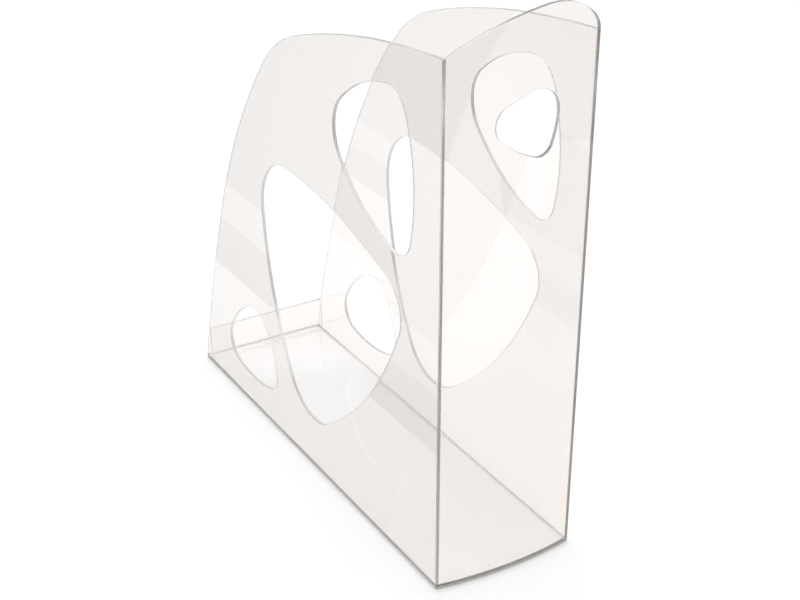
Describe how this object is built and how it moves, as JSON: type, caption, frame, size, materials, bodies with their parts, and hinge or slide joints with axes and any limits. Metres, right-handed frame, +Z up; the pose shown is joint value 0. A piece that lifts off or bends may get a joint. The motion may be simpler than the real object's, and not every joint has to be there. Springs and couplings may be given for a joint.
{
  "type": "magazine rack",
  "caption": "Upright open-topped magazine rack of clear plastic plates, with pebble-shaped openings, a bowed spine and a low front lip.",
  "frame": {"origin": "centre of the footprint's box, on the surface that the rack stands on", "axes": "+Z up, +Y from the spine towards the low front lip, +X from the left side panel to the right one, left being the left hand of a person who faces the spine"},
  "size_m": [0.087, 0.3, 0.3128],
  "materials": {
    "clear_plate": "clear polished polystyrene plate, faint warm grey, glossy",
    "clear_floor": "clear polished polystyrene plate, faint warm grey, glossy, with fine rubbing marks"
  },
  "bodies": {
    "root": {"floor_plate": "clear_floor", "left_side_panel": "clear_plate", "right_side_panel": "clear_plate", "spine_panel": "clear_plate", "front_lip": "clear_plate"}
  },
  "joints": []
}
